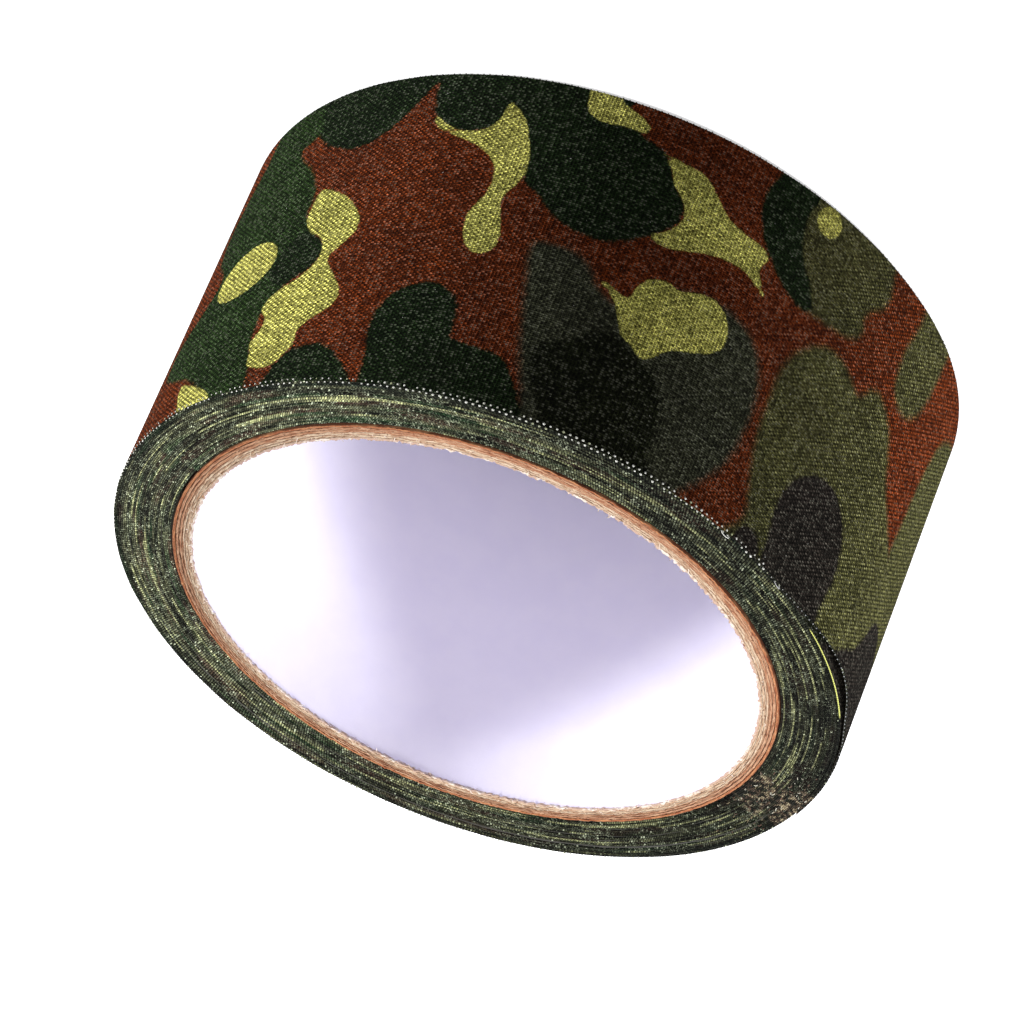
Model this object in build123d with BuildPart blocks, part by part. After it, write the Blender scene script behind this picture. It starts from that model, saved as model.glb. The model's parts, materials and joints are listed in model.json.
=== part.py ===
from build123d import *
import os
from math import cos, pi, radians, sin

# A roll of woven cloth duct tape on a spiral-wound paper core, with its free end coming loose.
# The roll's axis is Z and it lies on its flat side at Z = 0. +X points at the tape's cut end.
# The tape winds outward clockwise as seen from +Z, so the free end peels by turning about +Z.

# ---- driving dimensions, in millimetres and degrees ----
tape_width = 50.5             # height of the roll when it lies on its side
bore_radius = 38.1            # inside of the core

liner_thickness = 0.25        # white paper on the inside of the core
ply_thickness = 0.42          # each brown paper ply of the core
ply_count = 5
glue_line = 0.01              # between one layer of paper and the next

cloth_thickness = 0.175       # printed woven backing
adhesive_thickness = 0.065    # sticky coat on the backing's inner side
layer_gap = 0.01              # clearance on each side of the adhesive
half_turns = 61               # 30.5 turns of tape on the core

seam_lead = 110               # rise of a ply's butt seam in one turn: strips about 100 mm wide
seam_width = 0.3
seam_step = 71                # angle from one ply's seam to the next one's

tail_angle = 62               # the loose end of the outer turn reaches from this angle to 0
tail_segments = 4
lift_end_angle = 26           # the loose end touches the roll again from here to the cut
lift_height = 1.26            # greatest height of the loose end above the turn below
segment_gap = 0.025           # between one tail segment and the next, along the tape

# ---- worked out from them ----
layer_pitch = cloth_thickness + adhesive_thickness + 2 * layer_gap
core_radius = bore_radius + liner_thickness + ply_count * (glue_line + ply_thickness)
segment_angle = tail_angle / tail_segments

# The winding is made of half circles about two centres, so that each joins the next smoothly.
upper_centre = (layer_pitch / 4, 0)
lower_centre = (-layer_pitch / 4, 0)

# Radii of the first half turn, about its own centre.
adhesive_start_radius = core_radius + layer_gap + layer_pitch / 4
cloth_start_radius = adhesive_start_radius + adhesive_thickness + layer_gap


def turn_radius(start_radius, half_turn):
    """Radius of a face of the winding on one half turn, about that half turn's centre."""
    return start_radius + half_turn * layer_pitch / 2


def on_outer_turn(radius, angle):
    """Point at an angle on the last half turn, about that half turn's centre."""
    return (
        upper_centre[0] + radius * cos(radians(angle)),
        upper_centre[1] + radius * sin(radians(angle)),
    )


def winding_edge(start_radius):
    """One face of the wound tape, from its inner end to where the loose end starts."""
    for half_turn in range(half_turns):
        upper = half_turn % 2 == 0
        last = half_turn == half_turns - 1
        CenterArc(
            center=upper_centre if upper else lower_centre,
            radius=turn_radius(start_radius, half_turn),
            start_angle=180 if upper else 0,
            arc_size=tail_angle - 180 if last else -180,
        )


def winding_profile(start_radius, thickness):
    """Cross-section of a wound layer, seen along the roll's axis."""
    inner_start = turn_radius(start_radius, 0)
    outer_start = inner_start + thickness
    inner_end = turn_radius(start_radius, half_turns - 1)
    outer_end = inner_end + thickness
    with BuildSketch() as profile:
        with BuildLine():
            winding_edge(start_radius)
            winding_edge(start_radius + thickness)
            Line(on_outer_turn(inner_start, 180), on_outer_turn(outer_start, 180))
            Line(on_outer_turn(inner_end, tail_angle), on_outer_turn(outer_end, tail_angle))
        make_face()
    return profile.sketch


def tail_lift(angle):
    """Height of the loose end above its tightly wound place."""
    share = (tail_angle - angle) / (tail_angle - lift_end_angle)
    return lift_height * (1 - cos(2 * pi * min(share, 1))) / 2


def tail_edge(start_radius, first_angle, last_angle):
    """One face of a tail segment, as a smooth curve."""
    steps = 8
    radius = turn_radius(start_radius, half_turns - 1)
    angles = [first_angle + (last_angle - first_angle) * i / steps for i in range(steps + 1)]
    return Spline([on_outer_turn(radius + tail_lift(angle), angle) for angle in angles])


def tail_profile(start_radius, thickness, segment):
    """Cross-section of one layer of a tail segment. Segment 1 is next to the roll."""
    half_gap_angle = segment_gap / 2 / radians(1) / turn_radius(start_radius, half_turns - 1)
    first_angle = tail_angle - (segment - 1) * segment_angle - half_gap_angle
    last_angle = tail_angle - segment * segment_angle + half_gap_angle
    with BuildSketch() as profile:
        with BuildLine():
            inner = tail_edge(start_radius, first_angle, last_angle)
            outer = tail_edge(start_radius + thickness, first_angle, last_angle)
            Line(inner @ 0, outer @ 0)
            Line(inner @ 1, outer @ 1)
        make_face()
    return profile.sketch


def paper_layer(inner_radius, thickness, seam_angle):
    """A tube rolled from one paper strip, whose edges meet along a helical seam."""
    middle_radius = inner_radius + thickness / 2
    margin = 1
    seam_plane = Plane.XY.offset(-2 * margin).rotated((0, 0, seam_angle))
    with BuildPart() as tube:
        with BuildSketch():
            Circle(inner_radius + thickness)
            Circle(inner_radius, mode=Mode.SUBTRACT)
        extrude(amount=tape_width)
        with BuildLine(seam_plane) as seam:
            Helix(pitch=seam_lead, height=tape_width + 4 * margin, radius=middle_radius)
        outward = Vector(cos(radians(seam_angle)), sin(radians(seam_angle)), 0)
        with BuildSketch(Plane(origin=seam.line @ 0, x_dir=outward, z_dir=seam.line % 0)):
            Rectangle(thickness + 2 * margin, seam_width)
        sweep(path=seam.line, is_frenet=True, mode=Mode.SUBTRACT)
    return tube.part


def save(part, label):
    """Label a finished piece and write its STEP file."""
    part.label = label
    export_step(part, f"parts/{label}.step")


os.makedirs("parts", exist_ok=True)

# ---- core: a white liner inside brown plies, each seam turned away from the last ----
core_liner = paper_layer(bore_radius, liner_thickness, seam_angle=0)
save(core_liner, "core_liner")

for ply in range(1, ply_count + 1):
    ply_outer_radius = bore_radius + liner_thickness + ply * (glue_line + ply_thickness)
    core_ply = paper_layer(ply_outer_radius - ply_thickness, ply_thickness, ply * seam_step)
    save(core_ply, f"core_ply_{ply}")

# ---- wound tape: two continuous spirals, the adhesive inside the cloth ----
with BuildPart() as wound_adhesive:
    extrude(winding_profile(adhesive_start_radius, adhesive_thickness), amount=tape_width)
save(wound_adhesive.part, "wound_adhesive")

with BuildPart() as wound_backing:
    extrude(winding_profile(cloth_start_radius, cloth_thickness), amount=tape_width)
save(wound_backing.part, "wound_backing")

# ---- loose end: the same two layers in short segments, hinged one to the next ----
for segment in range(1, tail_segments + 1):
    adhesive_profile = tail_profile(adhesive_start_radius, adhesive_thickness, segment)
    with BuildPart() as tail_adhesive:
        extrude(adhesive_profile, amount=tape_width)
    save(tail_adhesive.part, f"tail_adhesive_{segment}")

    backing_profile = tail_profile(cloth_start_radius, cloth_thickness, segment)
    with BuildPart() as tail_backing:
        extrude(backing_profile, amount=tape_width)
    save(tail_backing.part, f"tail_backing_{segment}")
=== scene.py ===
import json
import math

import bpy
import numpy as np
from mathutils import Matrix, Vector


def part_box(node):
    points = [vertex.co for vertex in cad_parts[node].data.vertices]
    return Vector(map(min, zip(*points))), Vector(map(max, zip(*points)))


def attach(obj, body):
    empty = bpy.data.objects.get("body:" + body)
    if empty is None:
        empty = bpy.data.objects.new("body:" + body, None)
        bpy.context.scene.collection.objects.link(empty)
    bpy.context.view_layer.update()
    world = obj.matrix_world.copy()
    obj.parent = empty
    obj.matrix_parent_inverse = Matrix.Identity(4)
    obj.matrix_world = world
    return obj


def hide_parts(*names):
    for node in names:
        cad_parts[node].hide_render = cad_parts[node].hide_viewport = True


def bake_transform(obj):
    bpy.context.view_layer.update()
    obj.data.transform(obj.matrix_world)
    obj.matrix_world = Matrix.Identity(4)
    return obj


# Looks for a roll of printed cloth duct tape. Lengths are in millimetres until a mesh is made.
# "Wound angle" is the angle along the tape from its cut end, in degrees: 0 to 62 is the loose end,
# 360 is the end of the outer turn. The tape's own coordinates are s, the length from the cut end,
# and h, the height above the side that the roll lies on.

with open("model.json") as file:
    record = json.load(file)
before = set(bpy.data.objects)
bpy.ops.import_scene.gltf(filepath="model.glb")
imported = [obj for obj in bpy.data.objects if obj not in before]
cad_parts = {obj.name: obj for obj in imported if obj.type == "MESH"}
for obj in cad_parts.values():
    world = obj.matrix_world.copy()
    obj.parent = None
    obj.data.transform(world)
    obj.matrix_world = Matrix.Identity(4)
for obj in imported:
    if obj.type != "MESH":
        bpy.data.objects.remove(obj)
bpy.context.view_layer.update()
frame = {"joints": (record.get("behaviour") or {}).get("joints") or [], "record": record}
record = frame["record"]

MM = 0.001

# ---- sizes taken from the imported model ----
bore_mount = next(mount for mount in record["mounts"] if mount["name"] == "core_bore")
BORE_RADIUS = bore_mount["dims"]["r_mm"]
WIDTH = bore_mount["dims"]["length_mm"]
HINGES = [Vector(joint["pos_m"]) / MM for joint in frame["joints"]]
HINGE_ANGLES = [math.degrees(math.atan2(hinge.y, hinge.x)) for hinge in HINGES]
SEGMENT_ENDS = HINGE_ANGLES[1:] + [0]
TAIL_ANGLE = HINGE_ANGLES[0]
OUTER_RADIUS = HINGES[0].xy.length


def node_radius(node):
    """Outer radius of a round CAD node."""
    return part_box(node)[1].x / MM


LINER_RADIUS = node_radius("core_liner")
PLY_COUNT = 5
PLY_RADII = [node_radius(f"core_ply_{ply + 1}") for ply in range(PLY_COUNT)]
CORE_RADIUS = PLY_RADII[-1]
PLY_PITCH = PLY_RADII[1] - PLY_RADII[0]

# ---- the tape ----
TURNS = 30.5
CLOTH = 0.175
ADHESIVE = 0.065
LAYER_GAP = 0.01
LIFT_END = 26
YARN = 0.425                  # spacing along the tape of the yarns that cross it
YARN_ACROSS = 0.303           # spacing across the tape of the yarns that run along it
EDGE_ROUND = 0.06             # rounding of the cloth's cut edge
DISH = 0.12                   # how much lower the wound edge is by the core than at the outside
PITCH = (OUTER_RADIUS - CORE_RADIUS - CLOTH - ADHESIVE - 2 * LAYER_GAP) * 360 / (TURNS * 360 - TAIL_ANGLE)
LAST_ANGLE = TURNS * 360
DEGREES_PER_MM = math.degrees(1 / OUTER_RADIUS)


def bump_shape(angle):
    """Share of its greatest lift that the loose end has at a wound angle."""
    share = np.clip((TAIL_ANGLE - angle) / (TAIL_ANGLE - LIFT_END), 0, 1)
    return (1 - np.cos(2 * np.pi * share)) / 2


def wound_radius(angle):
    """Radius of the cloth's outer face if the tape lay tight all the way."""
    return OUTER_RADIUS + PITCH * (TAIL_ANGLE - angle) / 360


LIFT = (HINGES[1].xy.length - wound_radius(HINGE_ANGLES[1])) / bump_shape(HINGE_ANGLES[1])
NEAR_LIFT, FAR_LIFT = 1.0, 0.1   # shares of the lift at the near and far edges: the end lifts askew
LIFTED_ANGLE = 66                 # from here to the cut end the edge's yarns are worn
SLACK = 0.35                      # extra looseness all along the loose end


def cloth_radius(angle, height=WIDTH):
    """Radius of the cloth's outer face at a wound angle and a height."""
    share = FAR_LIFT + (NEAR_LIFT - FAR_LIFT) * np.clip(height / WIDTH, 0, 1)
    slack = SLACK * np.sin(np.pi * np.clip((TAIL_ANGLE - angle) / TAIL_ANGLE, 0, 1)) ** 2
    return wound_radius(angle) + LIFT * share * bump_shape(angle) + slack


def ripple(x, seed, size, longest, shortest):
    """Smooth irregular variation of about plus or minus size, with waves between two lengths."""
    waves = 9
    rng = np.random.default_rng(seed)
    lengths = np.geomspace(longest, shortest, waves) * rng.uniform(0.85, 1.15, waves)
    phases = rng.uniform(0, 2 * np.pi, waves)
    total = sum(np.sin(2 * np.pi * x / length + phase) for length, phase in zip(lengths, phases))
    return size * total / math.sqrt(waves)


# ======================= the printed pattern =======================
# Outlines of the camouflage print in tape coordinates (s, h). Each is a closed smooth curve.

LIGHT_SHAPES = [
    # boot with a long thin toe
    [(105.5, 28.8), (103.9, 27.6), (103.9, 25), (104.9, 22), (105.4, 19.8), (104.4, 17.2), (103.9, 15.2),
     (104.3, 12.6), (105.3, 9.8), (106.8, 6.8), (109.4, 4.7), (109.8, 7), (110.9, 9), (113.5, 9.9),
     (116.5, 9), (118.7, 7.4), (118.2, 9.1), (115.2, 10.6), (111.6, 12), (109, 13.9), (107.7, 16.3),
     (107.7, 19.6), (108.7, 22), (108.8, 24.6), (107.6, 27.8)],
    # three-pointed shape
    [(86.7, 18.8), (84.2, 19.4), (81.4, 18.4), (78, 17.1), (74.6, 16.7), (72.6, 17.3), (69.9, 18.7),
     (71.7, 16.4), (72.1, 14.9), (71.4, 13.4), (72.6, 12.2), (75.4, 11.9), (78.2, 11), (80.4, 9), (82.8, 7),
     (85.6, 6.6), (88.7, 6.5), (87.2, 7.9), (86, 10.2), (84.3, 11.9), (83.5, 13.8), (83.9, 15.8),
     (85.2, 17.5)],
    # rounded shape with a spike
    [(90.3, 27.4), (87.6, 29.8), (86.4, 31.8), (85.4, 33.8), (83.6, 34.8), (82, 35.9), (80.5, 35),
     (79.2, 33.1), (76.6, 31.7), (74.2, 30.3), (72.9, 28.6), (72.8, 26.4), (74, 24.1), (76.2, 22.9),
     (78.6, 23.5), (80.4, 24.3), (82.6, 24), (84.6, 24.9), (85.7, 26.9), (86.2, 28.7)],
    # two lobes joined by a neck
    [(129.3, 47.7), (127.2, 47.2), (126.1, 45.6), (125.4, 44.3), (125.8, 42.2), (124.4, 40.4), (122.4, 38.8),
     (121.7, 37), (122.4, 35.2), (124, 33.2), (125.7, 31.2), (125.9, 29.9), (124.6, 28.2), (123.4, 26),
     (123.8, 24), (125.4, 21.8), (127.8, 19.8), (130.4, 18.5), (132.5, 18), (133.1, 20.4), (132.8, 23),
     (131.2, 25.1), (128.9, 26.6), (127.6, 28.8), (127.9, 31.2), (129.6, 33), (132, 34.4), (133.8, 36.1),
     (133.8, 37.6), (132.4, 39.2), (132.5, 41.2), (133.3, 43), (132.4, 44.8), (132.2, 46.4), (131, 47.3)],
    # strip by the far edge
    [(100.2, -2), (100.1, 1.8), (99.4, 3.8), (97.4, 4.8), (94.6, 4.5), (91.8, 4.5), (91.6, 3.3), (93.6, 2),
     (95.8, 1), (97, -2)],
    # half disc by the near edge
    [(145.9, 45.6), (145.4, 47.7), (144, 50), (142.6, 54), (136, 54), (137.2, 50.4), (139.6, 48.4),
     (142.8, 46.7)],
]

MOSS_SHAPES = [
    # under the black blob in the middle
    [(99.6, 25.6), (98.7, 31), (97.2, 37), (95.8, 42), (94, 47), (91, 54), (73, 54), (71.4, 50.5),
     (69, 47), (67.2, 43.6), (66.2, 39.5), (65.9, 34), (66.9, 28.6), (69.2, 25.2), (72, 23.6), (76, 23),
     (82, 25), (87, 29.8), (90, 28.6), (91.6, 26.6), (93.5, 25.2), (96, 24.8)],
]

OLIVE_SHAPES = [
    # large shape right of the middle
    [(62, 54), (61.8, 47), (62.8, 43), (64.2, 37), (64.6, 30), (64.3, 25), (62.6, 21.2), (59.6, 18.4),
     (56.4, 17.9), (53.4, 19.2), (51.4, 19.8), (49.8, 17.4), (47.4, 16.9), (44.2, 19.2), (42.4, 22.4),
     (40.6, 26), (36.6, 29.6), (32.6, 32), (29, 36), (27, 42), (26, 54)],
    # disc at the far edge
    [(66, 15.8), (62, 15.9), (58, 15.2), (55.5, 13.8), (54.8, 12), (55.3, 10), (54.5, 8.6), (53, 7),
     (52.3, 4.5), (53, 1.5), (54, -3), (72, -3), (71, 5), (69, 11)],
    # lower right
    [(46, 13.6), (44, 15.6), (41.4, 15.2), (39.4, 13), (38.2, 10), (37.3, 6), (36.8, 2), (36.5, -3),
     (44, -3), (45.5, 4), (46.5, 9)],
    # at the loose end
    [(34, 32), (33.4, 26), (32.5, 20), (31, 14), (28.6, 9), (24, 5), (16, 1), (4, 0), (-4, 6), (-8, 20),
     (-4, 36), (8, 44), (20, 44), (29, 41)],
]

GREEN_SHAPES = [
    # large shape on the left
    [(131, 54), (131.4, 47.5), (133.4, 42), (133.2, 36), (129, 31), (129.4, 27), (133.2, 22), (133.6, 18),
     (136, 14), (139.4, 10.8), (141.4, 8.4), (139, 7), (134, 4), (133, -3), (150, -3), (153, 6), (156, 14),
     (154, 21), (149, 26.5), (151, 31), (156, 35), (155, 40), (150.4, 42.8), (145.4, 44.8), (141, 48),
     (138, 54)],
]

DARK_SHAPES = [
    # big shape in the middle, reaching the far edge
    [(100, 19.5), (98, 21), (95.2, 22), (92.2, 22.1), (89.6, 21.2), (87, 19.2), (84.8, 17), (83.7, 14.6),
     (84, 12.2), (85.7, 10.4), (87.2, 8), (88.4, 6.2), (91, 5.2), (93.4, 4), (94.8, 1.6), (95.6, -3),
     (119.4, -3), (120.4, 2.4), (119.8, 5.2), (118.3, 8.2), (114.5, 9.9), (111, 9.3), (108, 8.5),
     (105, 12), (103.8, 16.2), (101.8, 17.8)],
    # near edge, left of the middle
    [(113, 54), (113.8, 50), (114.6, 45), (115.5, 41.4), (115, 38), (113, 35.4), (110, 34.3), (107.4, 34.8),
     (105.6, 36.6), (104.8, 39.4), (104.4, 42), (101.4, 42.5), (98, 43), (96.2, 44.4), (94.6, 46.8),
     (92.9, 50), (92, 54)],
    # near edge, small, by the two lobes
    [(127.8, 54), (127.6, 49), (126, 45.8), (123.4, 44.8), (120.4, 44.8), (118, 46.8), (115.4, 49.6),
     (114, 54)],
    # disc on the far edge, left
    [(119.8, -3), (121.6, 3.4), (123.2, 6.4), (125, 9.2), (127.6, 11), (130.6, 11.5), (133.8, 10.4),
     (136.6, 8.8), (138.6, 6), (139, -3)],
    # crescent beside the dot
    [(63.4, 15.9), (65.4, 16.3), (68, 15.6), (70.6, 13.6), (73, 11), (74.6, 7.6), (74.9, 4), (74, 1),
     (73, -3), (67, -3), (68.4, 3), (68.2, 7), (66.8, 10.4), (64.6, 13)],
    # thumb between the two lobes
    [(130.4, 33), (128, 31), (127.4, 28.6), (129, 26.6), (132, 25), (135, 27), (135.4, 31), (133.4, 33.6)],
]

BLACK_SHAPES = [
    [(89.2, 54), (91, 49), (93.1, 45.4), (94.5, 42), (94.3, 39.6), (92, 38.2), (89.8, 36.8), (88.6, 35.2),
     (85.6, 34.4), (83, 35.8), (80.6, 36.8), (78.4, 38.6), (77.2, 42), (76.8, 47), (76, 54)],
    # painted shade: a black shape on the turn under the loose end, where its deeper part lies in shade
    [(326, 54), (327, 44), (332, 38), (342, 36), (352, 38), (360, 44), (362, 54)],
]

BLUE_SHAPES = [
    [(56, 54), (57.4, 47), (57.9, 42), (57.2, 38.4), (55, 35.4), (52, 33.6), (49, 33.8), (46.4, 36),
     (44.9, 39.4), (44.4, 43.6), (45, 48), (46, 54)],
    [(62.4, 54), (62.2, 49.6), (61, 47.9), (59.2, 47.8), (57.9, 49.6), (57.6, 54)],
    [(40, 54), (38.6, 49.6), (35, 46.6), (32.4, 42.4), (29.6, 38.4), (25, 36.8), (19, 37.8), (13, 41.4),
     (9, 47), (8, 54)],
]

ELLIPSES = [("light", (142, 28.4), (6.1, 4.4)), ("light", (65.5, 2.7), (1.95, 2.2))]
LAYERS = {
    "moss": MOSS_SHAPES, "olive": OLIVE_SHAPES, "green": GREEN_SHAPES, "dark": DARK_SHAPES,
    "black": BLACK_SHAPES, "blue": BLUE_SHAPES, "light": LIGHT_SHAPES,
}
# The same shapes again, turned half round, fill the far side of the roll, and then they repeat.
PLACEMENTS = [(1, 0), (-1, 315), (1, 307)]
PRINT_DROP = 0.35             # the whole print lies this much lower than its outlines say
FAR_AWAY = 6.0                # distances to an outline are not followed further than this


def smooth_outline(points):
    """Closed Catmull-Rom curve through the points."""
    steps = 6
    p = np.array(points, float)
    before, after, beyond = np.roll(p, 1, 0), np.roll(p, -1, 0), np.roll(p, -2, 0)
    t = (np.arange(steps) / steps)[None, :, None]
    a, b, c, d = (q[:, None, :] for q in (before, p, after, beyond))
    curve = 0.5 * (2 * b + (c - a) * t + (2 * a - 5 * b + 4 * c - d) * t ** 2
                   + (3 * b - a - 3 * c + d) * t ** 3)
    return curve.reshape(-1, 2)


def ellipse_outline(centre, radii):
    steps = 40
    turn = np.arange(steps) * 2 * np.pi / steps
    return np.stack([centre[0] + radii[0] * np.cos(turn), centre[1] + radii[1] * np.sin(turn)], 1)


def signed_distance(points, outline):
    """Distance from each point to a closed outline, negative inside it."""
    result = np.full(len(points), FAR_AWAY)
    low, high = outline.min(0) - FAR_AWAY, outline.max(0) + FAR_AWAY
    near = np.all((points > low) & (points < high), axis=1)
    if not near.any():
        return result
    p = points[near]
    nearest = np.full(len(p), FAR_AWAY ** 2)
    inside = np.zeros(len(p), bool)
    for start, end in zip(outline, np.roll(outline, -1, 0)):
        side = end - start
        along = np.clip(((p - start) @ side) / max(side @ side, 1e-12), 0, 1)
        nearest = np.minimum(nearest, ((p - start - along[:, None] * side) ** 2).sum(1))
        crosses = (start[1] > p[:, 1]) != (end[1] > p[:, 1])
        if crosses.any():
            at = start[0] + side[0] * (p[:, 1] - start[1]) / (side[1] if side[1] else 1e-12)
            inside ^= crosses & (p[:, 0] < at)
    distance = np.sqrt(nearest)
    result[near] = np.where(inside, -distance, distance)
    return result


def print_layer(layer, s, h):
    """Distance to the edge of a layer of the print at tape coordinates, negative on its shapes."""
    outlines = [smooth_outline(shape) for shape in LAYERS[layer]]
    outlines += [ellipse_outline(centre, radii) for name, centre, radii in ELLIPSES if name == layer]
    points = np.stack([s, h + PRINT_DROP], 1)
    result = np.full(len(points), FAR_AWAY)
    for way, shift in PLACEMENTS:
        for outline in outlines:
            placed = outline if way > 0 else np.array([0, WIDTH]) - outline
            result = np.minimum(result, signed_distance(points, placed + np.array([shift, 0])))
    return result


# ======================= mesh building =======================

class Soup:
    """Points and faces collected for one mesh, with tape coordinates and a material for each."""

    def __init__(self):
        self.points, self.tape, self.faces, self.materials, self.count = [], [], [], [], 0
        self.flat = []

    def add(self, points, faces, tape=None, material=0):
        """Adds points (n, 3) and faces, whose material is one number or one for each face."""
        points = np.asarray(points, float)
        self.points.append(points)
        self.tape.append(np.zeros((len(points), 3)) if tape is None else np.asarray(tape, float))
        self.faces += [tuple(int(i) + self.count for i in face) for face in faces]
        self.materials += [material] * len(faces) if np.isscalar(material) else list(material)
        self.count += len(points)

    def cap_last(self, rows, columns, material):
        """Closes both ends of the strip that was added last."""
        first, last = self.count - rows * columns, self.count - columns
        self.flat += [len(self.faces), len(self.faces) + 1]
        self.faces += [tuple(range(first, first + columns)), tuple(range(last + columns - 1, last - 1, -1))]
        self.materials += [material, material]

    def build(self, name, materials, print_layers=False):
        """Makes the object, in metres, with its attributes and materials."""
        points, tape = np.concatenate(self.points), np.concatenate(self.tape)
        mesh = bpy.data.meshes.new(name)
        mesh.from_pydata((points * MM).tolist(), [], self.faces)
        for material in materials:
            mesh.materials.append(material)
        mesh.polygons.foreach_set("material_index", np.array(self.materials, np.int32))
        smooth = np.ones(len(self.faces), bool)
        smooth[self.flat] = False
        mesh.polygons.foreach_set("use_smooth", smooth)
        attribute = mesh.attributes.new("tape", "FLOAT_VECTOR", "POINT")
        attribute.data.foreach_set("vector", tape.astype(np.float32).ravel())
        if print_layers:
            for layer in LAYERS:
                values = print_layer(layer, tape[:, 0], tape[:, 1])
                attribute = mesh.attributes.new(f"print_{layer}", "FLOAT", "POINT")
                attribute.data.foreach_set("value", values.astype(np.float32))
        mesh.update()
        obj = bpy.data.objects.new(name, mesh)
        bpy.context.scene.collection.objects.link(obj)
        return obj


def grid_faces(rows, columns, closed_rows=False):
    """Quads of a grid of points, numbered row by row. Returns (faces, column of each face)."""
    i = np.arange(rows if closed_rows else rows - 1)
    j = np.arange(columns)
    i, j = (a.ravel() for a in np.meshgrid(i, j, indexing="ij"))
    down, across = (i + 1) % rows, (j + 1) % columns
    faces = np.stack([i * columns + j, down * columns + j, down * columns + across, i * columns + across], 1)
    return faces, j


def around(radius, angle, height):
    """Points from a radius, an angle in degrees and a height, all of one shape."""
    turn = np.radians(angle)
    return np.stack(np.broadcast_arrays(radius * np.cos(turn), radius * np.sin(turn), height), -1)


# ======================= the tape's meshes =======================
CLOTH_FACE, CUT_EDGE, ADHESIVE_FACE, PALE_YARN, FRAYED_YARN = range(5)
WALL_ROWS = 54                # rows of points up the cloth of the outer turn
EDGE_ROWS = 2                 # the turns under it show only their edges
YARN_RADIUS = 0.06
FRAY_COUNT, FIBRE_COUNT, FLAKE_COUNT = 190, 420, 70


def edge_height(angle, side):
    """How far the tape's edge strays from its true height: side 1 is the near edge, -1 the other."""
    turn = np.floor(angle / 360)
    wander = ripple(angle, 11 + side, 0.035, 900, 120) + ripple(angle, 23 + side, 0.03, 60, 9)
    step = 0.09 * np.sin(turn * 2.399 + side) * ripple(angle, 31 + side, 1, 1500, 300)
    depth = np.clip((angle - 360) / (LAST_ANGLE - 360), 0, 1)
    return wander + step - side * DISH * depth ** 1.5


def strip_angles(first, last, step):
    """Wound angles from first to last, whole steps apart between the two."""
    whole = np.arange(math.floor(first / step) + 1, math.ceil(last / step)) * step
    return np.concatenate([[first], whole, [last]])[:, None]


def cloth_strip(soup, first, last, wall_rows):
    """A length of cloth between two wound angles, as one closed solid with a yarn-ribbed cut edge."""
    half_yarn = YARN / 2 * DEGREES_PER_MM
    angle = strip_angles(first, last, half_yarn)
    top = WIDTH + edge_height(angle, 1)
    bottom = edge_height(angle, -1)
    rib = np.where(np.round(angle / half_yarn).astype(int) % 2 == 0, 0.05, -0.03)

    near_edge = 0.15
    inside = np.linspace(near_edge, WIDTH - near_edge, wall_rows - 2) if wall_rows > 2 else []
    levels = np.concatenate([[EDGE_ROUND], inside, [WIDTH - EDGE_ROUND]]) / WIDTH
    wall_z = bottom + (top - bottom) * levels[None, :]
    z = np.hstack([wall_z, top + rib, top - EDGE_ROUND, bottom + EDGE_ROUND, bottom - rib])
    depth = np.array([0] * wall_rows + [CLOTH / 2, CLOTH, CLOTH, CLOTH / 2])[None, :]
    r = cloth_radius(angle, z) - depth
    columns = z.shape[1]
    points = around(r, angle, z).reshape(-1, 3)
    s = np.repeat(angle / DEGREES_PER_MM, columns, 1)
    tape = np.stack([s, z, np.floor(np.repeat(angle, columns, 1) / 360)], -1).reshape(-1, 3)

    faces, column = grid_faces(len(angle), columns)
    material = np.where(column < wall_rows - 1, CLOTH_FACE, CUT_EDGE)
    soup.add(points, faces[:, ::-1], tape, material)
    soup.cap_last(len(angle), columns, CUT_EDGE)


def adhesive_strip(soup, first, last, step, material):
    """A length of the sticky coat on the cloth's inner side, a little narrower than the cloth."""
    angle = strip_angles(first, last, step * DEGREES_PER_MM)
    shy = 0.16
    top = WIDTH + edge_height(angle, 1) - shy + ripple(angle, 47, 0.03, 30, 3)
    bottom = edge_height(angle, -1) + shy
    z = np.hstack([bottom, top, top, bottom])
    depth = CLOTH + LAYER_GAP / 2 + ADHESIVE * np.array([[0, 0, 1, 1]])
    r = cloth_radius(angle, z) - depth
    points = around(r, angle, z).reshape(-1, 3)
    s = np.repeat(angle / DEGREES_PER_MM, 4, 1)
    tape = np.stack([s, z, np.floor(np.repeat(angle, 4, 1) / 360)], -1).reshape(-1, 3)
    faces, _ = grid_faces(len(angle), 4)
    soup.add(points, faces[:, ::-1], tape, material)
    soup.cap_last(len(angle), 4, material)


def bead(soup, centre, axes, material, tape):
    """A small rounded lump: a six-sided spindle with three rings, along the last of its three axes."""
    a, b, c = axes
    turn = np.arange(6) * np.pi / 3
    rings = [centre + a * math.cos(lift) * np.cos(turn)[:, None] + b * math.cos(lift) * np.sin(turn)[:, None]
             + c * math.sin(lift) for lift in (-0.8, 0, 0.8)]
    points = np.concatenate([*rings, [centre - c, centre + c]])
    faces = [(k + i, k + (i + 1) % 6, k + 6 + (i + 1) % 6, k + 6 + i) for k in (0, 6) for i in range(6)]
    faces += [(18, (i + 1) % 6, i) for i in range(6)] + [(19, 12 + i, 12 + (i + 1) % 6) for i in range(6)]
    soup.add(points, faces, np.repeat([tape], len(points), 0), material)


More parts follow.
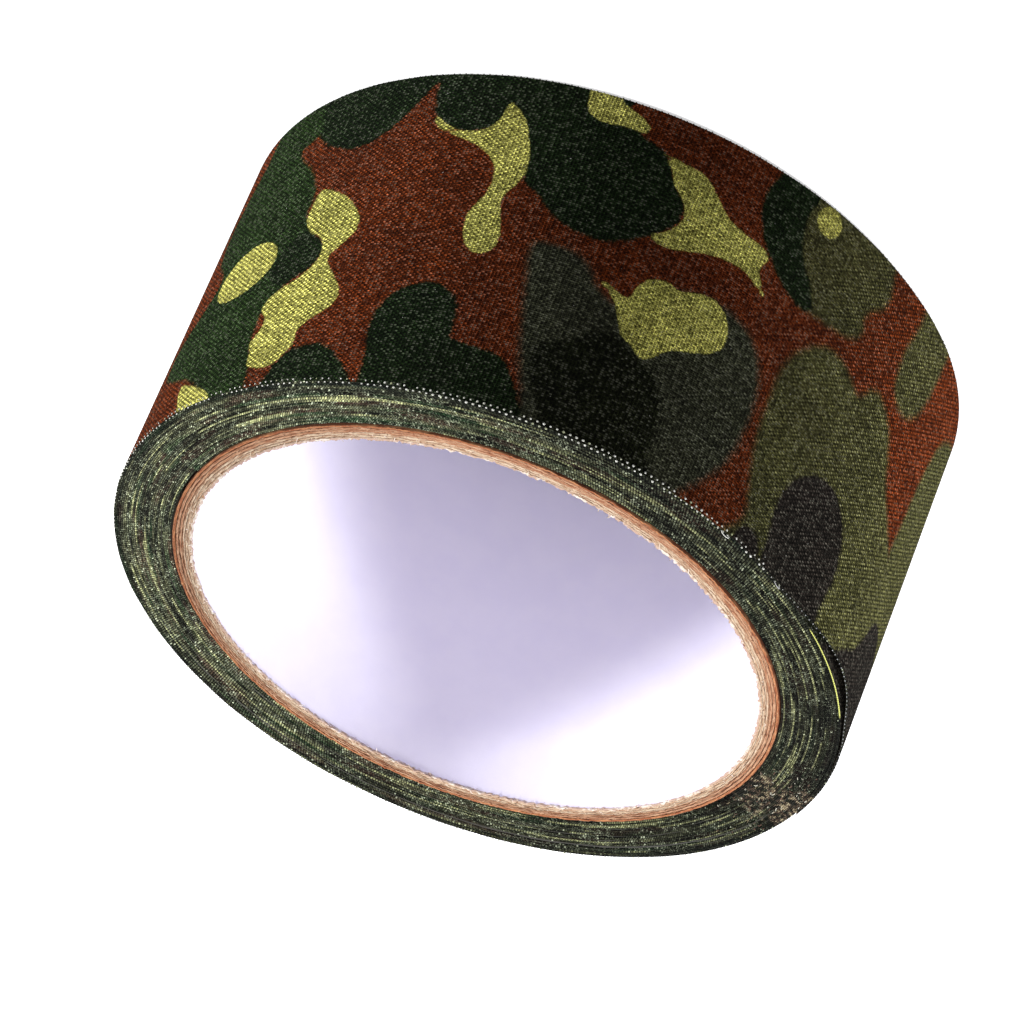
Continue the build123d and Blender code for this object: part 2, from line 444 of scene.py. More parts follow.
def yarn(soup, path, radius, material, tape):
    """A short length of yarn or fibre along a path of points."""
    path = np.asarray(path, float)
    ahead = np.gradient(path, axis=0)
    ahead /= np.linalg.norm(ahead, axis=1)[:, None]
    side = np.cross(ahead, [0.31, 0.22, 0.93])
    side /= np.linalg.norm(side, axis=1)[:, None]
    up = np.cross(ahead, side)
    sides = 5
    turn = np.arange(sides) * 2 * np.pi / sides
    spokes = side[:, None] * np.cos(turn)[:, None] + up[:, None] * np.sin(turn)[:, None]
    rings = path[:, None] + radius * spokes
    faces = [tuple(face) for face in grid_faces(len(path), sides)[0]]
    faces += [tuple(range(sides))[::-1], tuple(range((len(path) - 1) * sides, len(path) * sides))]
    soup.add(rings.reshape(-1, 3), faces, np.repeat([tape], len(path) * sides, 0), material)


UP = np.array([0, 0, 1])


def place_axes(angle):
    """Outward and onward unit vectors at an angle in degrees."""
    turn = math.radians(angle)
    return np.array([math.cos(turn), math.sin(turn), 0]), np.array([-math.sin(turn), math.cos(turn), 0])


def yarn_ends(soup, first, last, material, seed):
    """Pale yarns along the outer turn's edges: crowns on the wall and cut ends on the rim, by turns."""
    rng = np.random.default_rng(seed)
    step = YARN * DEGREES_PER_MM
    for index in range(int(math.ceil(first / step)), int(last / step) + 1):
        angle = index * step
        out, onward = place_axes(angle)
        for side in (1, -1):
            size = rng.uniform(0.75, 1.1)
            worn = angle < LIFTED_ANGLE or side < 0
            if rng.random() < 0.08 or (worn and index % 2):
                continue
            size *= 0.65 if worn else 0.8 if angle > 130 else 1
            edge = (WIDTH if side > 0 else 0) + edge_height(angle, side)
            if index % 2:
                height, depth = edge - side * 0.42, -0.01
                axes = (onward * 0.17 * size, UP * 0.17 * size, out * 0.09)
            else:
                height, depth = edge + side * rng.uniform(0.02, 0.08), CLOTH / 2
                axes = (onward * 0.17 * size, out * 0.11 * size, UP * 0.15 * size)
            centre = out * (cloth_radius(angle, height) - depth) + UP * height
            bead(soup, centre, axes, material, (angle / DEGREES_PER_MM, height, index))


def loose_loops(soup, material):
    """Small loops of yarn that have come up from the outer turn's near edge."""
    for angle, reach, length in ((74.5, 0.75, 1.3), (62.5, 0.9, 1.1)):
        out, onward = place_axes(angle)
        foot = out * (cloth_radius(angle) - CLOTH) + UP * WIDTH
        turn = np.linspace(0, np.pi, 9)[:, None]
        rise = (out * 0.5 + UP * 0.8) * reach
        path = foot + onward * length / 2 * np.cos(turn) + rise * np.sin(turn)
        yarn(soup, path, YARN_RADIUS, material, (angle / DEGREES_PER_MM, WIDTH, angle))


def fray_patch(soup, material):
    """Bits of frayed yarn that lie on the near side by the cut end."""
    rng = np.random.default_rng(97)
    for number in range(FRAY_COUNT):
        angle = rng.normal(-1, 6.5)
        radius = rng.uniform(CORE_RADIUS + 0.8, OUTER_RADIUS - 0.4)
        out, onward = place_axes(angle)
        start = out * radius + UP * (WIDTH - 0.05)
        heading = rng.uniform(-0.9, 0.9)
        along = onward * math.cos(heading) + out * math.sin(heading)
        length = rng.uniform(0.12, 0.55)
        share = np.linspace(0, 1, 5)[:, None]
        arch = UP * rng.uniform(0.08, 0.2) * np.sin(np.pi * share)
        path = start + along * length * share + arch + onward * rng.normal(0, 0.15) * share ** 2
        yarn(soup, path, rng.uniform(0.03, 0.06), material, (0, 0, number))


def cut_fringe(soup, material):
    """Yarn ends that stick out past the tape's cut end, across its whole width."""
    rng = np.random.default_rng(59)
    for number in range(int(WIDTH / YARN_ACROSS)):
        height = (number + 0.5) * YARN_ACROSS + rng.normal(0, 0.05)
        length = rng.uniform(0.15, 0.5) + (rng.uniform(0.4, 1.4) if rng.random() < 0.2 else 0)
        share = np.linspace(0, 1, 5)
        angle = 0.3 - share * (length + 0.25) * DEGREES_PER_MM
        radius = cloth_radius(0, height) - CLOTH / 2 + rng.uniform(-0.02, 0.12) * share ** 2
        path = around(radius, angle, height + rng.normal(0, 0.12) * share ** 2)
        yarn(soup, path, YARN_RADIUS, material, (0, 0, number))


def core_fuzz(soup, fibre_material, flake_material):
    """Torn paper fibres and a few flakes on the near edge of the core's bore."""
    rng = np.random.default_rng(41)
    for number in range(FIBRE_COUNT):
        angle = rng.uniform(0, 360)
        out, onward = place_axes(angle)
        start = out * (BORE_RADIUS + rng.uniform(-0.15, 0.9)) + UP * (WIDTH + rng.uniform(-0.1, 0.1))
        heading = -out * rng.uniform(0.1, 1) + onward * rng.normal(0, 1.0) + UP * rng.uniform(-0.2, 0.35)
        heading /= np.linalg.norm(heading)
        length = rng.uniform(0.3, 1.0)
        share = np.linspace(0, 1, 4)[:, None]
        path = start + heading * length * share - out * rng.uniform(-0.1, 0.15) * share ** 2
        yarn(soup, path, rng.uniform(0.025, 0.05), fibre_material, (0, 0, number))
    for number in range(FLAKE_COUNT):
        angle = 176 if number == 0 else rng.uniform(0, 360)
        size = 1.6 if number == 0 else rng.uniform(0.35, 0.9)
        out, onward = place_axes(angle)
        radius = BORE_RADIUS - 0.05 + rng.uniform(-0.15, 0.6)
        centre = out * radius + UP * (WIDTH + rng.uniform(-0.05, 0.08))
        tilt = rng.uniform(-0.4, 0.4)
        axes = (onward * 0.6 * size, out * 0.25 * size, (UP + out * tilt) * 0.07 * size)
        bead(soup, centre, axes, flake_material, (0, 0, number))


# ======================= node materials =======================

AWAY_FROM_CUT = (-0.98, -0.17) # the painted shade changes along this direction
SHADE_REACH = 0.045             # metres from the axis over which the painted shade on the wound side changes
EDGE_HIGHLIGHT_RUN = (331, 350)         # lengths along the tape of a painted highlight on the cut edge


class Nodes:
    """Short ways to add shader nodes to a material's tree."""

    def __init__(self, name):
        self.material = bpy.data.materials.new(name)
        self.material.use_nodes = True
        self.tree = self.material.node_tree
        self.tree.nodes.clear()
        self.output = self.new("ShaderNodeOutputMaterial")

    def new(self, kind, **settings):
        node = self.tree.nodes.new(kind)
        for key, value in settings.items():
            setattr(node, key, value)
        return node

    def put(self, socket, value):
        """Links an output to a socket, or sets the socket's own value."""
        if isinstance(value, bpy.types.NodeSocket):
            self.tree.links.new(value, socket)
        elif isinstance(value, (tuple, list)) and len(value) == 3 and len(socket.default_value) == 4:
            socket.default_value = (*value, 1)
        else:
            socket.default_value = value

    def attribute(self, name, output="Vector"):
        return self.new("ShaderNodeAttribute", attribute_name=name).outputs[output]

    def split(self, vector):
        node = self.new("ShaderNodeSeparateXYZ")
        self.put(node.inputs[0], vector)
        return node.outputs

    def join(self, x=0.0, y=0.0, z=0.0):
        node = self.new("ShaderNodeCombineXYZ")
        for socket, value in zip(node.inputs, (x, y, z)):
            self.put(socket, value)
        return node.outputs[0]

    def math(self, operation, a, b=0.0, c=0.0):
        node = self.new("ShaderNodeMath", operation=operation)
        for socket, value in zip(node.inputs, (a, b, c)):
            self.put(socket, value)
        return node.outputs[0]

    def times(self, a, b):
        return self.math("MULTIPLY", a, b)

    def plus(self, a, b):
        return self.math("ADD", a, b)

    def minus(self, a, b):
        return self.math("SUBTRACT", a, b)

    def place(self):
        """The place on the object, in metres."""
        return self.new("ShaderNodeTexCoord").outputs["Object"]

    def link(self, *pairs):
        for source, target in pairs:
            self.tree.links.new(source, target)

    def ramp(self, value, low, high, to_low=0.0, to_high=1.0):
        """Smooth step from to_low at low to to_high at high."""
        node = self.new("ShaderNodeMapRange", interpolation_type="SMOOTHSTEP")
        for socket, setting in zip(node.inputs, (value, low, high, to_low, to_high)):
            self.put(socket, setting)
        return node.outputs[0]

    def noise(self, vector, scale, detail=2.0, roughness=0.5):
        node = self.new("ShaderNodeTexNoise")
        self.put(node.inputs["Vector"], vector)
        self.put(node.inputs["Scale"], scale)
        self.put(node.inputs["Detail"], detail)
        self.put(node.inputs["Roughness"], roughness)
        return node.outputs[0]

    def random(self, vector):
        """One random number for each whole vector."""
        node = self.new("ShaderNodeTexWhiteNoise", noise_dimensions="3D")
        self.put(node.inputs["Vector"], vector)
        return node.outputs[0]

    def mix(self, share, a, b):
        node = self.new("ShaderNodeMix", data_type="RGBA")
        self.put(node.inputs[0], share)
        self.put(node.inputs[6], a)
        self.put(node.inputs[7], b)
        return node.outputs[2]

    def shade(self, color, level):
        """A colour times a brightness."""
        node = self.new("ShaderNodeVectorMath", operation="SCALE")
        self.put(node.inputs[0], color)
        self.put(node.inputs["Scale"], level)
        return node.outputs[0]

    def scaled(self, vector, factors):
        node = self.new("ShaderNodeVectorMath", operation="MULTIPLY")
        self.put(node.inputs[0], vector)
        node.inputs[1].default_value = factors
        return node.outputs[0]

    def bump(self, height, distance_mm, strength):
        node = self.new("ShaderNodeBump")
        self.put(node.inputs["Height"], height)
        self.put(node.inputs["Distance"], distance_mm * MM)
        self.put(node.inputs["Strength"], strength)
        return node.outputs[0]

    def finish(self, color, roughness, normal, **more):
        """Adds the surface shader. More settings go by the shader's own input names."""
        shader = self.new("ShaderNodeBsdfPrincipled")
        self.put(shader.inputs["Base Color"], color)
        self.put(shader.inputs["Roughness"], roughness)
        self.put(shader.inputs["Normal"], normal)
        for key, value in more.items():
            self.put(shader.inputs[key.replace("_", " ")], value)
        self.tree.links.new(shader.outputs[0], self.output.inputs[0])
        return self.material


RUST = (0.080, 0.0150, 0.0025)
PRINT_COLORS = {
    "moss": (0.025, 0.027, 0.015),
    "olive": (0.049, 0.048, 0.016),
    "green": (0.0105, 0.0225, 0.0050),
    "dark": (0.0050, 0.0112, 0.0027),
    "black": (0.0060, 0.0075, 0.0025),
    "blue": (0.0150, 0.0120, 0.0095),
    "light": (0.325, 0.31, 0.070),
}
PRINT_EDGE_SOFTNESS = {
    "moss": 0.9, "olive": 0.8, "green": 0.4, "dark": 0.3, "black": 0.7, "blue": 0.4, "light": 0.14,
}


def plain_weave(n, s, h):
    """A plain weave at tape coordinates: (which yarn is on top from -1 to 1, height from 0 to 1)."""
    crossing = n.math("SINE", n.times(s, math.pi / YARN))
    running = n.math("SINE", n.times(h, math.pi / YARN_ACROSS))
    on_top = n.times(crossing, running)
    return on_top, n.math("POWER", n.math("ABSOLUTE", on_top), 0.6)


def printed_cloth():
    """Matt woven cotton, printed with the camouflage pattern."""
    n = Nodes("printed_cloth")
    tape = n.attribute("tape")
    s, h, _ = n.split(tape)
    sway = n.minus(n.noise(tape, 0.25), 0.5)
    s_woven = n.math("MULTIPLY_ADD", sway, 0.35, s)
    h_woven = n.math("MULTIPLY_ADD", sway, 0.3, h)
    on_top, weave = plain_weave(n, s_woven, h_woven)

    # the print's edges wander a little and break up on single yarns
    stray = n.times(n.minus(n.noise(tape, 0.9, 3.0), 0.5), 0.9)
    yarn_cell = n.join(n.math("FLOOR", n.math("DIVIDE", s_woven, YARN)),
                       n.math("FLOOR", n.math("DIVIDE", h_woven, YARN_ACROSS)))
    single = n.random(yarn_cell)
    stray = n.plus(stray, n.times(n.minus(single, 0.5), 0.25))

    # painted light: rust and olive are painted brighter near the cut end
    painted_light = n.ramp(s, 58, 36, 1.0, 1.5)
    color = n.shade(RUST, painted_light)
    for layer, layer_color in PRINT_COLORS.items():
        if layer == "olive":
            layer_color = n.shade(layer_color, painted_light)
        soft = PRINT_EDGE_SOFTNESS[layer]
        wander = n.times(stray, 0.5 if layer == "light" else 1.0)
        distance = n.plus(n.attribute(f"print_{layer}", "Fac"), wander)
        color = n.mix(n.ramp(distance, soft, -soft), color, layer_color)

    # ink lies unevenly and single yarns differ; painted shade darkens the gaps between yarns
    patch = n.ramp(n.noise(tape, 0.12, 3.0), 0.3, 0.7, 0.86, 1.14)
    streak_s = n.noise(n.scaled(tape, (0.15, 2.2, 0)), 1.0, 2.0)
    streak_h = n.noise(n.scaled(tape, (2.2, 0.15, 0)), 1.0, 2.0)
    streak = n.ramp(n.plus(streak_s, streak_h), 0.7, 1.3, 0.8, 1.2)
    unlike = n.math("MULTIPLY_ADD", single, 1.3, 0.4)
    rib = n.math("COSINE", n.times(s_woven, 2 * math.pi / YARN))
    ribbed = n.ramp(n.math("ABSOLUTE", n.minus(s, 84)), 34, 14, 0.0, 0.65)
    pattern = n.plus(n.times(on_top, n.minus(1.0, ribbed)), n.times(rib, ribbed))
    woven = n.math("MULTIPLY_ADD", pattern, 0.9, 1.03)
    gaps = n.ramp(weave, 0.0, 0.7, 0.25, 1.26)
    fuzz = n.noise(tape, 5.0, 2.0)
    speck = n.ramp(n.noise(tape, 2.6, 2.0), 0.54, 0.70)
    level = patch
    for part in (streak, unlike, woven, gaps, n.ramp(fuzz, 0.3, 0.7, 0.4, 1.6),
                 n.math("MULTIPLY_ADD", speck, 0.9, 0.92)):
        level = n.times(level, part)
    color = n.shade(color, level)

    # a little undyed fibre shows, with a few pale specks of lint
    worn = n.times(n.ramp(single, 0.60, 1.0, 0.0, 0.135), n.ramp(weave, 0.3, 0.9))
    worn = n.math("MULTIPLY_ADD", speck, 0.018, worn)
    color = n.mix(worn, color, (0.50, 0.50, 0.40))
    lint = n.ramp(n.noise(tape, 1.9, 1.0), 0.77, 0.81, 0.0, 0.5)
    color = n.mix(lint, color, (0.6, 0.6, 0.55))
    relief = n.math("MULTIPLY_ADD", fuzz, 0.25, weave)
    normal = n.bump(relief, 0.07, 0.9)
    return n.finish(color, 0.95, normal, Sheen_Weight=0.01, Specular_IOR_Level=0.04)


def cut_cloth_edge():
    """The cut edges of the wound turns: a row of yarn ends on each, dyed and undyed."""
    n = Nodes("cut_cloth_edge")
    tape = n.attribute("tape")
    s, _, turn = n.split(tape)
    place = n.place()
    yarn_number = n.math("ROUND", n.math("DIVIDE", s, YARN))
    single = n.random(n.join(yarn_number, turn, 3.0))
    crown = n.math("ABSOLUTE", n.math("COSINE", n.times(s, math.pi / YARN)))

    def run(per_mm, seed):
        """Smooth variation along a turn, different on every turn."""
        across = n.math("MULTIPLY_ADD", turn, 7.3, seed)
        return n.noise(n.join(n.times(s, per_mm), across, 0.0), 1.0, 3.0)

    color = n.mix(n.ramp(run(0.07, 0.0), 0.45, 0.56), (0.007, 0.008, 0.005), (0.062, 0.066, 0.036))

    length, radius, _ = polar_coordinates(n)

    def bands(along, outward, seed):
        """Soft bands of a few turns."""
        return n.noise(n.join(n.times(length, along), n.times(radius, outward), seed), 1.0, 3.0)

    color = n.shade(color, n.ramp(bands(0.05, 1.6, 0.0), 0.36, 0.62, 0.5, 1.6))
    color = n.mix(n.ramp(bands(0.10, 0.5, 5.0), 0.52, 0.62, 0.0, 0.55), color, (0.060, 0.034, 0.024))
    color = n.mix(n.ramp(bands(0.07, 0.9, 9.0), 0.54, 0.64, 0.0, 0.6), color, (0.018, 0.044, 0.018))

    # painted shade: the cut edges are painted darker towards the cut end
    x, y, _ = n.split(place)
    across = n.plus(n.times(x, AWAY_FROM_CUT[0]), n.times(y, AWAY_FROM_CUT[1]))
    color = n.shade(color, n.ramp(across, -SHADE_REACH, SHADE_REACH, 0.40, 1.10))

    # long light streaks on single turns
    color = n.mix(n.ramp(run(0.05, 4.0), 0.58, 0.63), color, (0.230, 0.240, 0.115))

    # fibres in short curls across the turns
    curl = n.math("ABSOLUTE", n.minus(n.noise(place, 1500.0, 2.0), 0.5))
    strength = n.ramp(n.noise(place, 260.0, 2.0), 0.35, 0.65, 0.15, 0.85)
    fuzz = n.times(n.ramp(curl, 0.050, 0.010), strength)
    color = n.mix(fuzz, color, (0.20, 0.225, 0.150))

    # the outer turns are nearly black
    color = n.mix(n.ramp(turn, 4.5, 2.0, 0.0, 0.7), color, (0.006, 0.008, 0.006))
    pale = n.times(n.ramp(single, 0.97, 0.99, 0.0, 0.5), n.ramp(crown, 0.45, 0.9))
    color = n.mix(pale, color, (0.34, 0.37, 0.26))
    color = n.shade(color, n.math("MULTIPLY_ADD", n.math("POWER", single, 2.0), 1.5, 0.4))
    color = n.shade(color, n.ramp(crown, 0.25, 0.9, 0.10, 1.6))
    # painted shade: the cut edges are darkened again towards the cut end
    color = n.shade(color, n.ramp(across, -0.01, 0.040, 0.66, 1.20))

    # painted highlight: a light run on the cut edge under the lifted end, where the edge catches light
    first, last = EDGE_HIGHLIGHT_RUN
    middle, half = (first + last) / 2, (last - first) / 2
    inside = n.ramp(n.math("ABSOLUTE", n.minus(s, middle)), half, half - 1)
    color = n.mix(inside, color, n.shade((0.52, 0.54, 0.15), n.ramp(crown, 0.0, 1.0, 0.7, 1.1)))

    # frayed, dirty patch where the tape was cut
    from_cut = n.math("ABSOLUTE", n.math("ARCTAN2", y, x))
    off_cut = n.math("MULTIPLY_ADD", n.noise(place, 350.0, 2.0), 0.22, from_cut)
    patch = n.ramp(off_cut, 0.24, 0.16, 0.0, 0.85)
    mess = n.noise(place, 1300.0, 3.0)
    dirt = n.mix(n.ramp(mess, 0.46, 0.56), (0.012, 0.012, 0.009), (0.075, 0.050, 0.035))
    dirt = n.mix(n.ramp(mess, 0.57, 0.62), dirt, (0.38, 0.32, 0.20))
    color = n.mix(patch, color, dirt)
    fibre = n.noise(n.scaled(tape, (4.0, 4.0, 1.0)), 1.0, 3.0)
    normal = n.bump(fibre, 0.05, 0.8)
    return n.finish(color, 0.95, normal, Specular_IOR_Level=0.1)


def adhesive_coat():
    """Tacky rubber adhesive that carries the print of the weave."""
    n = Nodes("adhesive_coat")
    tape = n.attribute("tape")
    s, h, _ = n.split(tape)
    _, weave = plain_weave(n, s, h)
    blotch = n.noise(tape, 0.5, 4.0)
    color = n.mix(n.ramp(blotch, 0.35, 0.7), (0.30, 0.27, 0.19), (0.42, 0.39, 0.30))
    color = n.shade(color, n.ramp(weave, 0.0, 1.0, 0.75, 1.05))
    # painted shade: the coat is darker near the tape's edges, where it lies between the turns
    from_edge = n.math("MINIMUM", h, n.minus(WIDTH, h))
    color = n.shade(color, n.ramp(from_edge, 0.3, 1.0, 0.12, 1.0))
    relief = n.math("MULTIPLY_ADD", n.noise(tape, 3.0, 3.0), 0.8, weave)
    normal = n.bump(relief, 0.03, 0.6)
    return n.finish(color, n.ramp(blotch, 0.3, 0.7, 0.32, 0.5), normal)


def finish_fibre(n, color, fineness, relief_mm, relief, shades, **more):
    """Finishes the look of single fibres: a fine grain in both colour and relief."""
    grain = n.noise(n.place(), fineness, 2.0)
    normal = n.bump(grain, relief_mm, relief)
    return n.finish(n.shade(color, n.ramp(grain, 0.3, 0.7, *shades)), 0.9, normal, **more)


def undyed_yarn():
    """Pale cotton of the cut yarn ends and loose threads."""
    n = Nodes("undyed_yarn")
    s, h, index = n.split(n.attribute("tape"))
    single = n.random(n.join(index, 1.0, 2.0))
    color = n.mix(single, (0.46, 0.46, 0.38), (0.74, 0.74, 0.68))
    color = n.mix(n.ramp(single, 0.15, 0.1), color, (0.30, 0.32, 0.16))
    color = n.mix(n.ramp(s, 58, 50, 0.0, 0.75), color, (0.20, 0.21, 0.23))
    color = n.mix(n.ramp(h, 25, 20, 0.0, 0.75), color, (0.10, 0.11, 0.07))
    return finish_fibre(n, color, 9000.0, 0.03, 0.7, (0.8, 1.1), Sheen_Weight=0.2)


def dyed_yarn():
    """Frayed yarns in the print's colours, with some undyed ones."""
    n = Nodes("dyed_yarn")
    _, _, index = n.split(n.attribute("tape"))
    single = n.random(n.join(index, 3.0, 9.0))
    color = n.mix(n.ramp(single, 0.38, 0.42), (0.030, 0.036, 0.022), (0.120, 0.062, 0.038))
    color = n.mix(n.ramp(single, 0.66, 0.70), color, (0.22, 0.18, 0.10))
    color = n.mix(n.ramp(single, 0.88, 0.92), color, (0.60, 0.58, 0.46))
    return finish_fibre(n, color, 9000.0, 0.03, 0.7, (0.75, 1.15))


def paper_fibre():
    """Loose cream fibres of the torn liner."""
    n = Nodes("paper_fibre")
    _, _, index = n.split(n.attribute("tape"))
    single = n.random(n.join(index, 5.0, 6.0))
    color = n.mix(single, (0.62, 0.45, 0.30), (0.85, 0.80, 0.76))
    return finish_fibre(n, color, 6000.0, 0.02, 0.6, (0.85, 1.1))


# ======================= core =======================

def polar_coordinates(n):
    """(length round the core, radius, height), in millimetres, from the place on the object."""
    x, y, z = n.split(n.place())
    turn = n.math("ARCTAN2", y, x)
    radius = n.math("SQRT", n.plus(n.times(x, x), n.times(y, y)))
    return (n.times(turn, BORE_RADIUS), n.math("DIVIDE", radius, MM), n.math("DIVIDE", z, MM))


def core_painted_shade(n):
    """Painted shade: the torn edge of the core is painted darker away from the cut end."""
    x, y, _ = n.split(n.place())
    across = n.plus(n.times(x, AWAY_FROM_CUT[0]), n.times(y, AWAY_FROM_CUT[1]))
    return n.ramp(across, 0.010, 0.038, 1.0, 0.74)


def core_board(name, body_color, fibre_color, seed):
    """Brown core paper, with long fibres that show as pale streaks on its torn edge."""
    n = Nodes(name)
    length, radius, height = polar_coordinates(n)

    def grain(along, outward, upward, detail):
        layer = n.math("MULTIPLY_ADD", height, upward, seed)
        return n.noise(n.join(n.times(length, along), n.times(radius, outward), layer), 1.0, detail, 0.6)

    streak = grain(0.5, 9.0, 1.5, 4.0)
    fleck = grain(2.5, 6.0, 2.5, 3.0)
    color = n.mix(n.ramp(streak, 0.45, 0.57), body_color, fibre_color)
    color = n.mix(n.ramp(fleck, 0.60, 0.70, 0.0, 0.5), color, (0.56, 0.42, 0.28))
    color = n.mix(n.ramp(fleck, 0.42, 0.34, 0.0, 0.8), color, (0.14, 0.055, 0.03))
    ply = n.math("FRACT", n.math("DIVIDE", n.minus(radius, LINER_RADIUS), PLY_PITCH))
    from_line = n.math("MINIMUM", ply, n.minus(1.0, ply))
    wander = n.times(n.minus(streak, 0.5), 0.5)
    color = n.shade(color, n.ramp(n.plus(from_line, wander), 0.0, 0.20, 0.30, 1.05))
    # painted shade: the paper is darker away from the cut end
    color = n.shade(color, core_painted_shade(n))
    relief = n.plus(streak, n.times(fleck, 0.6))
    normal = n.bump(relief, 0.12, 0.8)
    return n.finish(color, 0.92, normal, Specular_IOR_Level=0.15)


def liner_paper():
    """Smooth paper, white with a painted violet tint that stands in for the violet of its shade, with faint
    fibre clouds and a torn brown rim.
    """
    n = Nodes("liner_paper")
    length, radius, height = polar_coordinates(n)
    place = n.join(length, radius, height)
    cloud = n.noise(place, 0.25, 3.0)
    fibre = n.noise(n.scaled(place, (1.2, 1.0, 3.5)), 1.0, 4.0, 0.6)
    # painted shade colour: the violet tint shows where the bore is in shade
    color = n.mix(n.ramp(cloud, 0.3, 0.7), (0.86, 0.825, 0.955), (0.885, 0.85, 0.965))
    torn = n.plus(height, n.times(n.minus(fibre, 0.5), 1.6))
    rim_color = n.mix(n.ramp(n.noise(place, 0.9, 3.0), 0.48, 0.62), (0.40, 0.25, 0.15), (0.66, 0.58, 0.47))
    # painted shade: the torn rim is darker away from the cut end
    rim_color = n.shade(rim_color, core_painted_shade(n))
    color = n.mix(n.ramp(torn, WIDTH - 0.45, WIDTH - 0.1, 0.0, 0.9), color, rim_color)
    normal = n.bump(fibre, 0.02, 0.5)
    return n.finish(color, 0.75, normal, Specular_IOR_Level=0.3)


FLARE = 0.36                  # how far the core's near edge is burred into the bore


def paper_tube(inner, outer, seed, ragged, flare):
    """A paper tube as a closed solid, with ragged edges and its near edge leaning inwards."""
    count = 1080
    angle = np.arange(count)[:, None] * 360 / count
    around_bore = np.radians(angle)

    def uneven(rng, waves):
        total = sum(rng.normal() * np.sin(k * around_bore + rng.uniform(0, 2 * np.pi)) for k in waves)
        return total / len(waves) ** 0.5

    rng = np.random.default_rng(seed)
    edges = [ragged * (0.6 * uneven(rng, (5, 13, 34, 89, 150)) + rng.normal(0, 0.55, (count, 1)))
             for _ in range(2)]
    top, bottom = WIDTH + 0.08 + edges[0], 0.05 + edges[1]
    shared = np.random.default_rng(7)
    curl = uneven(shared, (11, 29, 61, 97, 151, 233, 317))
    lean = flare * (1 + 0.6 * curl + shared.normal(0, 0.1, (count, 1)))
    levels = np.array([0, 0.2, 1.5, 12, 25, 38, WIDTH - 1.2, WIDTH - 0.6, WIDTH - 0.25, WIDTH])
    wall = bottom + (top - bottom) * levels[None, :] / WIDTH
    tip = np.clip((levels - (WIDTH - 0.9)) / 0.9, 0, 1) ** 2.5
    inner_r = inner - lean * tip[None, :]
    outer_r = outer - 0.7 * lean * tip[None, :]
    middle = (inner_r[:, -1:] + outer_r[:, -1:]) / 2
    crown = top + 0.3 * (outer - inner)
    r = np.hstack([inner_r, middle, outer_r[:, ::-1]])
    z = np.hstack([wall, crown, wall[:, ::-1]])
    points = around(r, angle, z).reshape(-1, 3)
    faces, _ = grid_faces(count, r.shape[1], closed_rows=True)
    return points, faces


# ======================= pieces =======================

def ride_on(piece, body, slot, *nodes):
    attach(piece, body)
    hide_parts(*nodes)
    return piece


def make_core():
    """The white liner and the five brown plies behind it."""
    boards = [
        core_board("core_board_pale", (0.36, 0.215, 0.130), (0.58, 0.46, 0.33), 1.0),
        core_board("core_board_brown", (0.29, 0.125, 0.065), (0.46, 0.28, 0.17), 2.0),
        core_board("core_board_red", (0.25, 0.078, 0.034), (0.42, 0.19, 0.085), 3.0),
    ]
    looks = [boards[0], boards[0], boards[1], boards[1], boards[2]]
    soup = Soup()
    soup.add(*paper_tube(BORE_RADIUS, LINER_RADIUS, 5, 0.13, FLARE))
    core_fuzz(soup, 1, 2)
    materials = [liner_paper(), paper_fibre(), boards[1]]
    ride_on(soup.build("core_liner_paper", materials), "roll", "liner_paper", "core_liner")
    inner = LINER_RADIUS
    for ply, (outer, look) in enumerate(zip(PLY_RADII, looks), 1):
        soup = Soup()
        soup.add(*paper_tube(inner + 0.01, outer, 10 + ply, 0.06, FLARE * (1 - ply / PLY_COUNT)))
        ride_on(soup.build(f"core_ply_{ply}_paper", [look]), "roll", "core_paper", f"core_ply_{ply}")
        inner = outer


PRINT_REACH = 8               # degrees that the print goes on past the loose end's root


def make_wound_tape(cloth_looks):
    """The outer turn with its print, the turns under it, and the adhesive between them."""
    under_tail = 360 + TAIL_ANGLE + PRINT_REACH
    soup = Soup()
    cloth_strip(soup, TAIL_ANGLE, under_tail, WALL_ROWS)
    ride_on(soup.build("cloth_outer_turn", cloth_looks, print_layers=True), "roll", "printed_cloth",
            "wound_backing")
    spans = np.linspace(under_tail, LAST_ANGLE, 4)
    for number, (first, last) in enumerate(zip(spans[:-1], spans[1:]), 1):
        soup = Soup()
        cloth_strip(soup, first, last, EDGE_ROWS)
        soup.materials = [CUT_EDGE] * len(soup.faces)
        piece = soup.build(f"cloth_inner_turns_{number}", cloth_looks)
        ride_on(piece, "roll", "printed_cloth", "wound_backing")
    soup = Soup()
    adhesive_strip(soup, TAIL_ANGLE, LAST_ANGLE, 1.2, 0)
    ride_on(soup.build("adhesive_wound", [cloth_looks[ADHESIVE_FACE]]), "roll", "adhesive", "wound_adhesive")
    soup = Soup()
    yarn_ends(soup, TAIL_ANGLE, 360, 0, 71)
    loose_loops(soup, 0)
    fray_patch(soup, 1)
    ride_on(soup.build("yarn_ends_outer_turn", cloth_looks[PALE_YARN:]), "roll", "printed_cloth")


BEND_SHARE = 0.75             # share of a tail piece up to the end of its bend, which is worked out but not used


